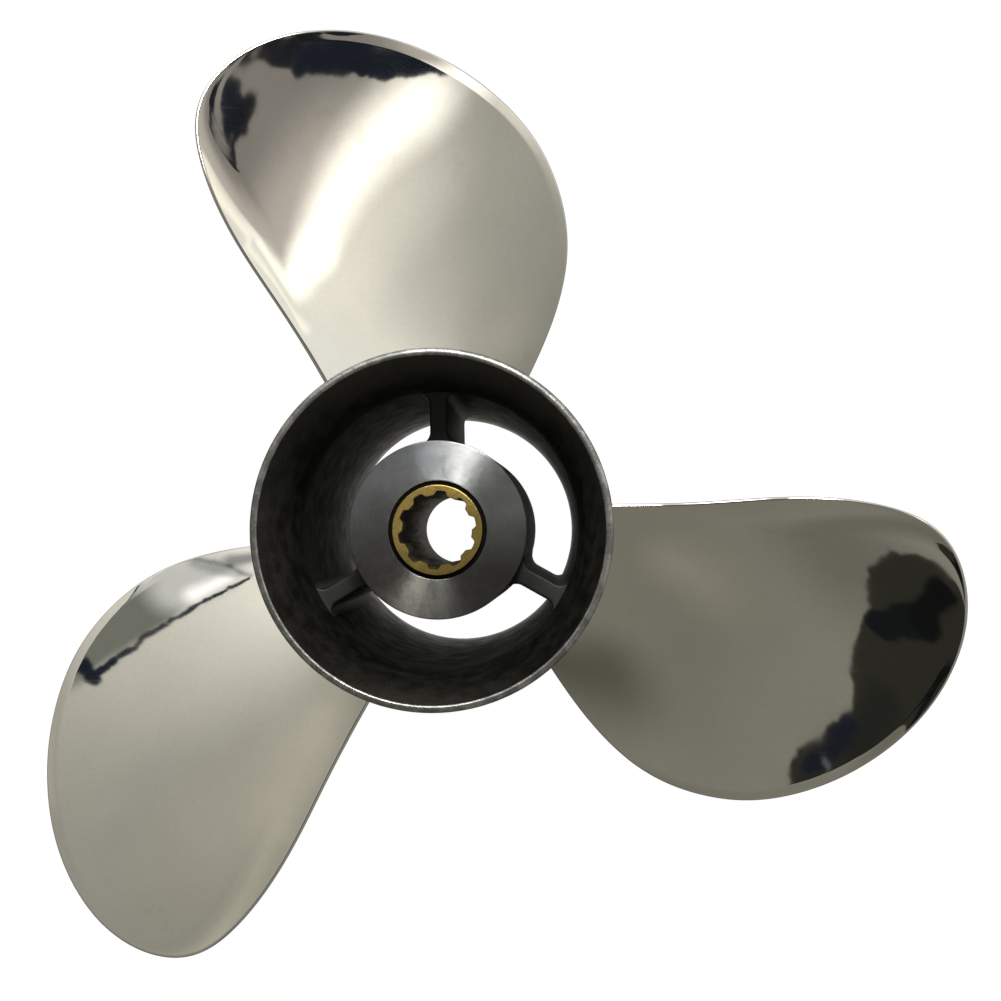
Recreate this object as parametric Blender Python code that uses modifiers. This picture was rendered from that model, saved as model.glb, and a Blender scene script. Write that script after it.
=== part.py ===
"""Three-bladed outboard boat propeller with a through-hub exhaust.

A polished stainless casting, shown as its barrel, flared ring, inner hub,
ribs and blades, holds a rubber bush, and the bush holds a splined brass
sleeve. Metres, +Z points aft along the shaft, Z = 0 is the barrel's front
end, and the blades' angles are counted anticlockwise as seen from aft.
"""

import math

import bmesh
import bpy
import numpy as np
from mathutils import Vector

MM = 0.001
SEAT_GAP = 0.3 * MM        # left between touching pieces

# Barrel and flared ring
BARREL_LENGTH = 100.0 * MM
RING_FRONT_Z = 75.0 * MM
BARREL_FRONT_R = 34.4 * MM
BARREL_AFT_R = 36.8 * MM
BARREL_FRONT_BORE_R = 31.0 * MM
BARREL_AFT_BORE_R = 33.6 * MM
RING_R = 42.3 * MM         # outer line of the flare, carried to the aft end
RING_BORE_R = 40.2 * MM
RIM_ROUND = 1.2 * MM
FRONT_CHAMFER = 1.0 * MM

# Inner hub
INNER_HUB_R = 21.4 * MM
INNER_HUB_FRONT_Z = 19.5 * MM
INNER_HUB_AFT_Z = 82.2 * MM
INNER_HUB_BORE_R = 16.0 * MM
AFT_WALL = 8.0 * MM
AFT_WALL_HOLE_R = 11.8 * MM

# Ribs between the inner hub and the barrel
RIB_ANGLES = {"rib_1": 91.0, "rib_2": -29.0, "rib_3": 211.0}
RIB_THICKNESS = 4.1 * MM
RIB_FRONT_Z = 16.0 * MM
RIB_AFT_Z = 74.0 * MM
RIB_FILLET_R = 2.2 * MM
RIB_NOSE = 1.5 * MM

# Rubber bush
BUSH_FRONT_Z = 23.0 * MM
SKIRT_AFT_Z = 81.6 * MM
SKIRT_R = 11.5 * MM

# Splined sleeve
SLEEVE_R = 10.8 * MM
SLEEVE_FRONT_Z = 12.6 * MM
SLEEVE_AFT_Z = 82.7 * MM
SLEEVE_BORE_R = 9.13 * MM
SPLINE_FRONT_Z = 41.0 * MM
SPLINE_TEETH = 10
SPLINE_TIP_R = 8.27 * MM
SPLINE_ROOT_R = 9.32 * MM
SPLINE_TIP_HALF_ANGLE = 6.0       # degrees, half a tooth at its tip
SPLINE_BASE_HALF_ANGLE = 11.0     # degrees, half a tooth at its base
SPLINE_TOOTH_ANGLE = 30.5         # degrees, middle of the first tooth

# Blades
BLADE_ANGLES = {"blade_1": 100.0, "blade_2": -20.0, "blade_3": -140.0}
TIP_R = 130.0 * MM
PITCH = 305.0 * MM
BLADE_Z = 55.1 * MM        # pressure face at the blade's own angle, at the barrel
RAKE = 0.05                # lean aft for each unit of radius
CUP_SLOPE = 0.26           # slope of the lip at the trailing edge, which turns aft
CUP_WIDTH = 7.0 * MM
CUP_START_R = 54.0 * MM    # the lip grows from nothing between these radii
CUP_FULL_R = 84.0 * MM
CUP_TIP_SHARE = 0.25       # share of its width that is left at the tip
ROOT_THICKNESS = 6.8 * MM
TIP_THICKNESS = 1.8 * MM
EDGE_THICKNESS = 1.2 * MM
ROOT_FILLET_R = 5.0 * MM
ROOT_R = 36.0 * MM         # mean radius of the barrel under a blade
ROOT_BLEND = 14.0 * MM     # height over which rows follow the barrel
ROOT_DEPTH = 3.5 * MM      # blade run on inside the barrel before it is cut

# Blade outline: (radius in mm, degrees from the blade's own angle)
TRAILING_EDGE = [(36, 28.6), (48, 26.8), (60, 25.8), (80, 25.3), (95, 24.4), (107, 22.9),
                 (116, 21.0), (122, 18.6), (127, 14.6), (130, 7.2)]
LEADING_EDGE = [(36, -35.6), (48, -35.8), (60, -35.4), (72, -34.0), (83, -31.6), (95, -27.3),
                (105, -22.3), (114, -16.0), (121, -9.7), (127, -2.2), (130, 7.2)]

TURN_STEPS = 72
CHORD_STEPS = 16
SPAN_STEPS = 15
RIM_ARC_STEPS = 3
FLARE_STEPS = 5
FILLET_STEPS = 4
NOSE_STEPS = 3


def clear_scene():
    for obj in list(bpy.data.objects):
        bpy.data.objects.remove(obj, do_unlink=True)
    for group in list(bpy.data.collections):
        bpy.data.collections.remove(group)


def make_collection(name):
    group = bpy.data.collections.new(name)
    bpy.context.scene.collection.children.link(group)
    return group


def make_material(name, color, roughness, metallic):
    material = bpy.data.materials.new(name)
    material.use_nodes = True
    shader = material.node_tree.nodes["Principled BSDF"]
    shader.inputs["Base Color"].default_value = (*color, 1.0)
    shader.inputs["Roughness"].default_value = roughness
    shader.inputs["Metallic"].default_value = metallic
    material.diffuse_color = (*color, 1.0)
    return material


def add_object(name, mesh, group, material=None):
    obj = bpy.data.objects.new(name, mesh)
    group.objects.link(obj)
    if material is not None:
        mesh.materials.append(material)
    else:
        obj.hide_render = True
        obj.display_type = "WIRE"
    return obj


def shade_round(mesh):
    mesh.shade_smooth()
    mesh.set_sharp_from_angle(angle=math.radians(35))


def cut(obj, cutter, operation="DIFFERENCE"):
    modifier = obj.modifiers.new(operation.lower(), "BOOLEAN")
    modifier.operation = operation
    modifier.solver = "EXACT"
    modifier.object = cutter


def turned(name, profile, group, material=None):
    """Turn a closed (radius, z) profile, outer side downwards first, about Z."""
    mesh = bpy.data.meshes.new(name)
    points = [(radius, 0.0, z) for radius, z in profile]
    edges = [(i, (i + 1) % len(points)) for i in range(len(points))]
    mesh.from_pydata(points, edges, [])
    obj = add_object(name, mesh, group, material)
    screw = obj.modifiers.new("turn", "SCREW")
    screw.axis = "Z"
    screw.angle = 2 * math.pi
    screw.steps = TURN_STEPS
    screw.render_steps = TURN_STEPS
    screw.use_merge_vertices = True
    screw.merge_threshold = 0.00001
    screw.use_smooth_shade = True
    return obj


def extruded(name, outline, low, high, group):
    """Raise a closed flat (x, y) outline from z = low to z = high, as a cutter."""
    curve = bpy.data.curves.new(name, "CURVE")
    curve.dimensions = "2D"
    curve.fill_mode = "BOTH"
    curve.extrude = (high - low) / 2
    spline = curve.splines.new("POLY")
    spline.points.add(len(outline) - 1)
    for point, (x, y) in zip(spline.points, outline):
        point.co = (x, y, 0.0, 1.0)
    spline.use_cyclic_u = True
    guide = bpy.data.objects.new(name + "_outline", curve)
    bpy.context.scene.collection.objects.link(guide)
    bpy.context.view_layer.update()
    evaluated = guide.evaluated_get(bpy.context.evaluated_depsgraph_get())
    mesh = bpy.data.meshes.new_from_object(evaluated)
    mesh.name = name
    bpy.data.objects.remove(guide)
    bpy.data.curves.remove(curve)
    shape = bmesh.new()
    shape.from_mesh(mesh)
    bmesh.ops.remove_doubles(shape, verts=shape.verts, dist=0.00001)
    bmesh.ops.recalc_face_normals(shape, faces=shape.faces)
    bmesh.ops.translate(shape, verts=shape.verts, vec=(0, 0, (low + high) / 2))
    shape.to_mesh(mesh)
    shape.free()
    mesh.materials.clear()
    return add_object(name, mesh, group)


def loft(name, rings, group, material):
    """Skin a row of closed rings, each listed up one side and back down the other."""
    shape = bmesh.new()
    loops = [[shape.verts.new(point) for point in ring] for ring in rings]
    count = len(loops[0])
    for low, high in zip(loops, loops[1:]):
        for i in range(count):
            j = (i + 1) % count
            shape.faces.new((low[i], low[j], high[j], high[i]))
    for cap in (loops[0], loops[-1]):
        for i in range(count // 2 - 1):
            shape.faces.new((cap[i], cap[i + 1], cap[count - 2 - i], cap[count - 1 - i]))
    bmesh.ops.recalc_face_normals(shape, faces=shape.faces)
    mesh = bpy.data.meshes.new(name)
    shape.to_mesh(mesh)
    shape.free()
    shade_round(mesh)
    return add_object(name, mesh, group, material)


def spaced(low, high, count):
    return [low + (high - low) * i / count for i in range(count + 1)]


def flare(z, start_r, end_r):
    """Radius of the flared ring's wall, tangent to the barrel at its front."""
    share = min(max((z - RING_FRONT_Z) / (BARREL_LENGTH - RING_FRONT_Z), 0.0), 1.0)
    return start_r + (end_r - start_r) * (0.35 * share + 0.65 * share * share)


def barrel_outer_r(z):
    if z > RING_FRONT_Z:
        return flare(z, BARREL_AFT_R, RING_R)
    return BARREL_FRONT_R + (BARREL_AFT_R - BARREL_FRONT_R) * max(z, 0.0) / RING_FRONT_Z


def barrel_inner_r(z):
    if z > RING_FRONT_Z:
        return flare(z, BARREL_AFT_BORE_R, RING_BORE_R)
    share = max(z, 0.0) / RING_FRONT_Z
    return BARREL_FRONT_BORE_R + (BARREL_AFT_BORE_R - BARREL_FRONT_BORE_R) * share


def build_barrel(group, material):
    stations = (FRONT_CHAMFER, RING_FRONT_Z)
    profile = [(barrel_outer_r(z), z) for z in reversed(stations)]
    profile.append((BARREL_FRONT_R - FRONT_CHAMFER, 0.0))
    profile.append((BARREL_FRONT_BORE_R + FRONT_CHAMFER, 0.0))
    profile += [(barrel_inner_r(z), z) for z in stations]
    return turned("barrel", profile, group, material)


def build_ring(group, material):
    front = RING_FRONT_Z + SEAT_GAP
    round_z = BARREL_LENGTH - RIM_ROUND
    rim = []
    for angle in spaced(0.0, math.pi / 2, RIM_ARC_STEPS):
        radius = barrel_outer_r(round_z) - RIM_ROUND * (1 - math.sin(angle))
        rim.append((radius, round_z + RIM_ROUND * math.cos(angle)))
    outer = [(barrel_outer_r(z), z) for z in spaced(front, round_z, FLARE_STEPS)]
    inner = [(barrel_inner_r(z), z) for z in spaced(front, BARREL_LENGTH, FLARE_STEPS)]
    profile = rim + list(reversed(outer))[1:] + inner
    return turned("flared_ring", profile, group, material)


def build_inner_hub(group, material):
    chamfer = 0.5 * MM
    wall_z = INNER_HUB_AFT_Z - AFT_WALL
    profile = [
        (INNER_HUB_R - chamfer, INNER_HUB_AFT_Z),
        (INNER_HUB_R, INNER_HUB_AFT_Z - chamfer),
        (INNER_HUB_R, INNER_HUB_FRONT_Z + chamfer),
        (INNER_HUB_R - chamfer, INNER_HUB_FRONT_Z),
        (INNER_HUB_BORE_R + chamfer, INNER_HUB_FRONT_Z),
        (INNER_HUB_BORE_R, INNER_HUB_FRONT_Z + chamfer),
        (INNER_HUB_BORE_R, wall_z),
        (AFT_WALL_HOLE_R, wall_z),
        (AFT_WALL_HOLE_R, INNER_HUB_AFT_Z),
    ]
    return turned("inner_hub", profile, group, material)


def build_bush(group, material):
    bush_r = INNER_HUB_BORE_R - SEAT_GAP
    bore_r = SLEEVE_R + SEAT_GAP
    shoulder_z = INNER_HUB_AFT_Z - AFT_WALL - SEAT_GAP
    lead = 1.5 * MM
    profile = [
        (SKIRT_R, SKIRT_AFT_Z),
        (SKIRT_R, shoulder_z),
        (bush_r, shoulder_z),
        (bush_r, BUSH_FRONT_Z + lead),
        (bush_r - lead, BUSH_FRONT_Z),
        (bore_r, BUSH_FRONT_Z),
        (bore_r, SKIRT_AFT_Z),
    ]
    return turned("rubber_bush", profile, group, material)


def spline_outline():
    """Outline of the splined shaft that the sleeve's teeth leave room for."""
    outline = []
    pitch = 360.0 / SPLINE_TEETH
    corners = [
        (SPLINE_TIP_R, -SPLINE_TIP_HALF_ANGLE),
        (SPLINE_TIP_R, 0.0),
        (SPLINE_TIP_R, SPLINE_TIP_HALF_ANGLE),
        (SPLINE_ROOT_R, SPLINE_BASE_HALF_ANGLE),
        (SPLINE_ROOT_R, pitch / 2),
        (SPLINE_ROOT_R, pitch - SPLINE_BASE_HALF_ANGLE),
    ]
    for tooth in range(SPLINE_TEETH):
        for radius, offset in corners:
            angle = math.radians(SPLINE_TOOTH_ANGLE + pitch * tooth + offset)
            outline.append((radius * math.cos(angle), radius * math.sin(angle)))
    return outline


def build_sleeve(group, cutters, material):
    chamfer = 0.4 * MM
    step = 1.0 * MM            # broached bore starts a little before the teeth
    blank_bore_r = SPLINE_TIP_R - 1.0 * MM
    profile = [
        (SLEEVE_R, SLEEVE_AFT_Z),
        (SLEEVE_R, SLEEVE_FRONT_Z + chamfer),
        (SLEEVE_R - chamfer, SLEEVE_FRONT_Z),
        (SLEEVE_BORE_R + chamfer, SLEEVE_FRONT_Z),
        (SLEEVE_BORE_R, SLEEVE_FRONT_Z + chamfer),
        (SLEEVE_BORE_R, SPLINE_FRONT_Z),
        (blank_bore_r, SPLINE_FRONT_Z),
        (blank_bore_r, SLEEVE_AFT_Z),
    ]
    sleeve = turned("splined_sleeve", profile, group, material)
    broach = extruded("broach", spline_outline(), SPLINE_FRONT_Z - step, SLEEVE_AFT_Z + step,
                      cutters)
    cut(sleeve, broach)
    return sleeve


def build_exhaust_space(cutters):
    """The space between inner hub and barrel, less the seat gaps."""
    inner_r = INNER_HUB_R + SEAT_GAP
    stations = (-1.0 * MM, RING_FRONT_Z)
    profile = [(barrel_inner_r(z) - SEAT_GAP, z) for z in reversed(stations)]
    profile += [(inner_r, stations[0]), (inner_r, stations[-1])]
    return turned("exhaust_space", profile, cutters)


def rib_section(z, inset):
    """Plan of a rib along +X, widened by a fillet at the hub and the barrel."""
    hub_r = INNER_HUB_R + SEAT_GAP
    barrel_r = barrel_inner_r(z) - SEAT_GAP
    wide = RIB_THICKNESS / 2 + RIB_FILLET_R - inset
    run_on = 3.0 * MM
    arc = []
    for angle in spaced(0.0, math.pi / 2, FILLET_STEPS):
        arc.append((RIB_FILLET_R * (1 - math.cos(angle)), wide - RIB_FILLET_R * math.sin(angle)))
    side = [(hub_r - run_on, wide)]
    side += [(hub_r + along, across) for along, across in arc]
    side += [(barrel_r - along, across) for along, across in reversed(arc)]
    side.append((barrel_r + run_on, wide))
    ring = side + [(x, -y) for x, y in reversed(side)]
    return [Vector((x, y, z)) for x, y in ring]


def build_rib(name, angle, space, group, material):
    nose = []
    for turn in spaced(0.0, math.pi / 2, NOSE_STEPS):
        nose.append((RIB_NOSE * (1 - math.cos(turn)), RIB_NOSE * (1 - math.sin(turn))))
    levels = [(RIB_FRONT_Z + along, inset) for along, inset in nose]
    levels += [(RIB_AFT_Z - along, inset) for along, inset in reversed(nose)]
    rib = loft(name, [rib_section(z, inset) for z, inset in levels], group, material)
    rib.rotation_euler.z = math.radians(angle)
    cut(rib, space, "INTERSECT")
    return rib


def natural_spline(knots, values):
    """Smooth curve through the points: a function of the knots' variable."""
    knots = np.array(knots)
    values = np.array(values)
    count = len(knots)
    steps = np.diff(knots)
    slopes = np.diff(values) / steps
    system = np.eye(count)
    bends = np.zeros(count)
    for i in range(1, count - 1):
        system[i, i - 1:i + 2] = [steps[i - 1], 2 * (steps[i - 1] + steps[i]), steps[i]]
        bends[i] = 6 * (slopes[i] - slopes[i - 1])
    bends = np.linalg.solve(system, bends)

    def curve(at):
        i = int(np.clip(np.searchsorted(knots, at) - 1, 0, count - 2))
        ahead, behind, step = knots[i + 1] - at, at - knots[i], steps[i]
        return ((bends[i] * ahead ** 3 + bends[i + 1] * behind ** 3) / (6 * step)
                + (values[i] / step - bends[i] * step / 6) * ahead
                + (values[i + 1] / step - bends[i + 1] * step / 6) * behind)

    return curve


def span_share(radius):
    """0 at the root to 1 at the tip, so that even steps crowd at the tip."""
    height = min(max((radius - ROOT_R) / (TIP_R - ROOT_R), -1.0), 1.0)
    return math.asin(height) * 2 / math.pi


def edge_curve(points):
    return natural_spline([span_share(radius * MM) for radius, _ in points],
                          [degrees for _, degrees in points])


TRAILING = edge_curve(TRAILING_EDGE)
LEADING = edge_curve(LEADING_EDGE)


def face_point(radius, share):
    """Pressure face at a share of the chord, 0 at the leading edge."""
    span = max(span_share(radius), 0.0)
    degrees = LEADING(span) + (TRAILING(span) - LEADING(span)) * share
    to_edge = radius * math.radians(TRAILING(span) - degrees)
    grown = min(max((radius - CUP_START_R) / (CUP_FULL_R - CUP_START_R), 0.001), 1.0)
    narrowed = min(max((radius - CUP_FULL_R) / (TIP_R - CUP_FULL_R), 0.0), 1.0) ** 2
    width = CUP_WIDTH * grown * (1 - (1 - CUP_TIP_SHARE) * narrowed)
    into = max(1 - to_edge / width, 0.0)
    lip = CUP_SLOPE * width * (into ** 2 - into ** 3 / 3) * (1 - narrowed ** 4)
    z = BLADE_Z + PITCH * degrees / 360 + RAKE * (radius - ROOT_R) + lip
    angle = math.radians(degrees)
    return Vector((radius * math.cos(angle), radius * math.sin(angle), z))


def suction_normal(point):
    """Unit normal of the helical face, on the side that looks forward."""
    radius = math.hypot(point.x, point.y)
    along = Vector((-point.y, point.x, PITCH / (2 * math.pi)))
    outward = Vector((point.x / radius, point.y / radius, RAKE))
    normal = along.cross(outward).normalized()
    return normal if normal.z < 0 else -normal


def thickness(span, share):
    middle = ROOT_THICKNESS + (TIP_THICKNESS - ROOT_THICKNESS) * span ** 0.8
    return EDGE_THICKNESS + (middle - EDGE_THICKNESS) * math.sin(math.pi * share) ** 0.8


def root_flare(height):
    """Extra half-width of the root fillet at a height above the barrel."""
    height = max(height, 0.0)
    if height >= ROOT_FILLET_R:
        return 0.0
    return ROOT_FILLET_R - math.sqrt(ROOT_FILLET_R ** 2 - (ROOT_FILLET_R - height) ** 2)


def blade_section(row_r):
    """Closed ring of points: pressure face to the trailing edge, then back."""
    height = row_r - ROOT_R
    follow = min(max(1 - height / ROOT_BLEND, 0.0), 1.0)
    swell = min(root_flare(height), ROOT_FILLET_R * 0.9)
    pressure, suction = [], []
    for i in range(CHORD_STEPS + 1):
        share = (1 - math.cos(math.pi * i / CHORD_STEPS)) / 2
        z = face_point(ROOT_R, share).z
        radius = row_r + (barrel_outer_r(z) - ROOT_R) * follow
        point = face_point(radius, share)
        forward = suction_normal(point)
        chordwise = forward.cross(Vector((point.x, point.y, 0))).normalized()
        point -= chordwise * swell * (2 * share - 1)
        pressure.append(point - forward * swell)
        span = max(span_share(row_r), 0.0)
        suction.append(point + forward * (thickness(span, share) + swell))
    return pressure + list(reversed(suction))


def build_blade(name, angle, envelope, group, material):
    rows = [ROOT_R - ROOT_DEPTH]
    rows += [ROOT_R + ROOT_FILLET_R * (i / FILLET_STEPS) ** 2 for i in range(FILLET_STEPS + 1)]
    first = span_share(rows[-1])
    last = 1.0
    for share in spaced(first, last, SPAN_STEPS)[1:-1]:
        rows.append(ROOT_R + (TIP_R - ROOT_R) * math.sin(share * math.pi / 2))
    rows.append(TIP_R - 0.05 * MM)
    blade = loft(name, [blade_section(row) for row in rows], group, material)
    blade.rotation_euler.z = math.radians(angle)
    cut(blade, envelope)
    return blade


def build_envelope(cutters):
    """Barrel and ring as one solid, larger by the seat gap, to cut the roots."""
    stations = spaced(-1.0 * MM, BARREL_LENGTH, 24)
    profile = [(barrel_outer_r(z) + SEAT_GAP, z) for z in reversed(stations)]
    bore_r = INNER_HUB_R
    profile += [(bore_r, stations[0]), (bore_r, stations[-1])]
    return turned("hub_envelope", profile, cutters)


def main():
    clear_scene()
    parts = make_collection("outboard_propeller")
    cutters = make_collection("cutters")
    polished = make_material("polished_stainless", (0.62, 0.60, 0.56), 0.12, 1.0)
    cast = make_material("satin_cast_stainless", (0.10, 0.10, 0.09), 0.45, 1.0)
    machined = make_material("machined_stainless", (0.42, 0.42, 0.42), 0.30, 1.0)
    rubber = make_material("black_rubber", (0.012, 0.012, 0.012), 0.75, 0.0)
    brass = make_material("brass", (0.55, 0.41, 0.16), 0.35, 1.0)

    build_barrel(parts, polished)
    build_ring(parts, polished)
    build_inner_hub(parts, machined)
    space = build_exhaust_space(cutters)
    for name, angle in RIB_ANGLES.items():
        build_rib(name, angle, space, parts, cast)
    envelope = build_envelope(cutters)
    for name, angle in BLADE_ANGLES.items():
        build_blade(name, angle, envelope, parts, polished)
    build_bush(parts, rubber)
    build_sleeve(parts, cutters, brass)
    bpy.context.view_layer.update()


main()
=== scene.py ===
"""Looks of the outboard propeller: finished pieces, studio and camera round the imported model."""

import math

import bmesh
import bpy
import numpy as np
from mathutils import Matrix, Vector, noise


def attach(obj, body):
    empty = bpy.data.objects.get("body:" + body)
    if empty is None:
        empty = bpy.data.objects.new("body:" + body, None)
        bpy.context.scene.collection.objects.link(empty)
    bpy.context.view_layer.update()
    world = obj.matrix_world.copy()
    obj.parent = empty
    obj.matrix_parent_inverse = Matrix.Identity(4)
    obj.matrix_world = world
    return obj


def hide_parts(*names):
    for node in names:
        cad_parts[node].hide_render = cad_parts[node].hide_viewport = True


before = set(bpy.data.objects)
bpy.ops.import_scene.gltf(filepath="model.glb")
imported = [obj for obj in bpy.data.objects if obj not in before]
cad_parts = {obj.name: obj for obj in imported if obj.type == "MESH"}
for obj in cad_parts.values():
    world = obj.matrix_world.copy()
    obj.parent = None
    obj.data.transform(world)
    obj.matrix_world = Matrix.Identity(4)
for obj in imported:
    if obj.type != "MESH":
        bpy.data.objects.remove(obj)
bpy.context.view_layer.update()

MM = 0.001

# Barrel and flared ring, as in the CAD source but for the rounding of the edges
BARREL_LENGTH = 100.0 * MM
RING_FRONT_Z = 75.0 * MM
BARREL_FRONT_R = 34.4 * MM
BARREL_AFT_R = 36.8 * MM
BARREL_FRONT_BORE_R = 31.0 * MM
BARREL_AFT_BORE_R = 33.6 * MM
RING_R = 42.3 * MM
RING_BORE_R = 40.2 * MM
RIM_OUTER_ROUND = 1.1 * MM
RIM_INNER_ROUND = 0.55 * MM
FRONT_CHAMFER = 1.0 * MM
FRONT_ROUND = 0.9 * MM
RIM_INSET = 0.05 * MM      # keeps the rounded rim inside the CAD's ring
BARREL_STATIONS = np.array([3.0, 25.0, 50.0, 72.0, 75.0, 76.5]) * MM
FLARE_STATIONS = np.linspace(78, 98.4, 18) * MM
FLARE_SLOPE = 0.35         # the flare's share that is a straight cone; the rest is curved

# Inner hub, ribs, bush and sleeve, as in the CAD source but for the ribs' thickness and
# rounding, the width of the spline's teeth and narrower gaps between the pieces
INNER_HUB_R = 21.4 * MM
INNER_HUB_FRONT_Z = 19.5 * MM
INNER_HUB_AFT_Z = 82.2 * MM
INNER_HUB_BORE_R = 16.0 * MM
AFT_WALL = 8.0 * MM
AFT_WALL_HOLE_R = 11.8 * MM
MACHINED_BAND = 0.5 * MM   # the machined face ends this far down the inner hub's outside
RIB_ANGLES = {"rib_1": 91.0, "rib_2": -29.0, "rib_3": 211.0}
RIB_THICKNESS = 4.3 * MM
RIB_FRONT_Z = 16.0 * MM
RIB_AFT_Z = 74.0 * MM
RIB_FILLET_R = 2.6 * MM
RIB_NOSE = 0.7 * MM        # rounding of a rib's front and aft ends
RIB_RUN_ON = 0.8 * MM      # how far a rib goes into the hub and the barrel
BUSH_FRONT_Z = 23.0 * MM
SKIRT_AFT_Z = 81.6 * MM
SKIRT_R = 11.75 * MM
BUSH_GAP = 0.05 * MM       # between the bush and the sleeve
SLEEVE_R = 10.8 * MM
SLEEVE_FRONT_Z = 12.6 * MM
SLEEVE_AFT_Z = 82.7 * MM
SLEEVE_BORE_R = 9.13 * MM
SPLINE_FRONT_Z = 41.0 * MM
SPLINE_RUN_OUT = 0.8 * MM  # length in which the teeth die into the plain bore
TOOTH_CHAMFER_DEPTH = 0.2 * MM
TOOTH_CHAMFER_WIDTH = 0.14 * MM
SPLINE_TEETH = 10
SPLINE_TIP_R = 8.27 * MM
SPLINE_ROOT_R = 9.32 * MM
SPLINE_TIP_HALF_ANGLE = 5.4    # degrees, half a tooth at its tip
SPLINE_BASE_HALF_ANGLE = 12.6  # degrees, half a tooth at its base
SPLINE_TOOTH_ANGLE = 30.5      # degrees, middle of the first tooth

# Blades: the CAD source's shape, with a wider lip, a groove, a bevel and rounded edges
BLADE_ANGLES = {"blade_1": 100.0, "blade_2": -20.0, "blade_3": -140.0}
TIP_R = 130.0 * MM
PITCH = 305.0 * MM
BLADE_Z = 55.1 * MM
RAKE = 0.05                # rise towards aft for each unit of radius
CUP_SLOPE = 0.26           # slope of the lip at the trailing edge
CUP_WIDTH = 8.0 * MM
CUP_START_R = 54.0 * MM    # the lip grows from nothing between these radii
CUP_FULL_R = 84.0 * MM
CUP_TIP_SHARE = 0.25       # share of its width that is left at the tip
GROOVE_DEPTH = 0.015 * MM  # shallow groove at the foot of the lip
GROOVE_WIDTH = 1.0 * MM
ROOT_THICKNESS = 6.8 * MM
TIP_THICKNESS = 1.8 * MM
EDGE_THICKNESS = 1.2 * MM
EDGE_ROUND = 0.6 * MM      # width of the rounded edge, measured along the face
BEVEL_WIDTH = 3.0 * MM     # polished-off band along the leading edge
BEVEL_DEPTH = 0.45 * MM
BEVEL_START = 7.0 * MM     # below the tip circle, where the band has its full depth
BEVEL_FULL_R = 98.0 * MM   # towards the root the band fades between these radii
BEVEL_END_R = 78.0 * MM
EDGE_SWELL = 3.0 * MM      # the section starts to thicken this far from the edge
ROOT_FILLET_R = 5.0 * MM
ROOT_R = 36.0 * MM
ROOT_BLEND = 14.0 * MM     # above the fillet the rows stop following the barrel within this
ROOT_SINK = 0.6 * MM       # how far the fillet's foot goes into the barrel
ROOT_SKIRT = 0.3 * MM      # how much wider than the fillet its foot is
TIP_TRIM = 0.004           # share of the span left off at the very tip
POLISH_WAVE = 0.004 * MM   # slight unevenness of the polish
POLISH_WAVE_SIZE = 7.0 * MM
# Edges, seen from aft: (radius in mm, degrees anticlockwise from the blade's middle)
TRAILING_EDGE = [(36, 28.6), (48, 26.8), (60, 25.8), (80, 25.3), (95, 24.4), (107, 22.9),
                 (116, 21.0), (122, 18.6), (127, 14.6), (130, 7.2)]
LEADING_EDGE = [(36, -35.6), (48, -35.8), (60, -35.4), (72, -34.0), (83, -31.6), (95, -27.3),
                (105, -22.3), (114, -16.0), (121, -9.7), (127, -2.2), (130, 7.2)]

# Mesh resolution
CHORD_STEPS = 150
SPAN_STEPS = 120
FILLET_STEPS = 12
TURN_STEPS = 256
TOOTH_STEPS = 36
ARC_STEPS = 6
OUTLINE_STEPS = 700
SHARP_ANGLE = math.radians(40)

# Camera, from the photograph's perspective
CAMERA_PLACE = Vector((37.2, 0.7, 497.0)) * MM
CAMERA_FOCUS_PX = 1745.0
IMAGE_PX = 1001
SENSOR_WIDTH = 36.0        # mm of a full-frame camera
NADIR_PX = (593.0, 526.6)  # where a line straight down from the camera meets the image


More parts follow.
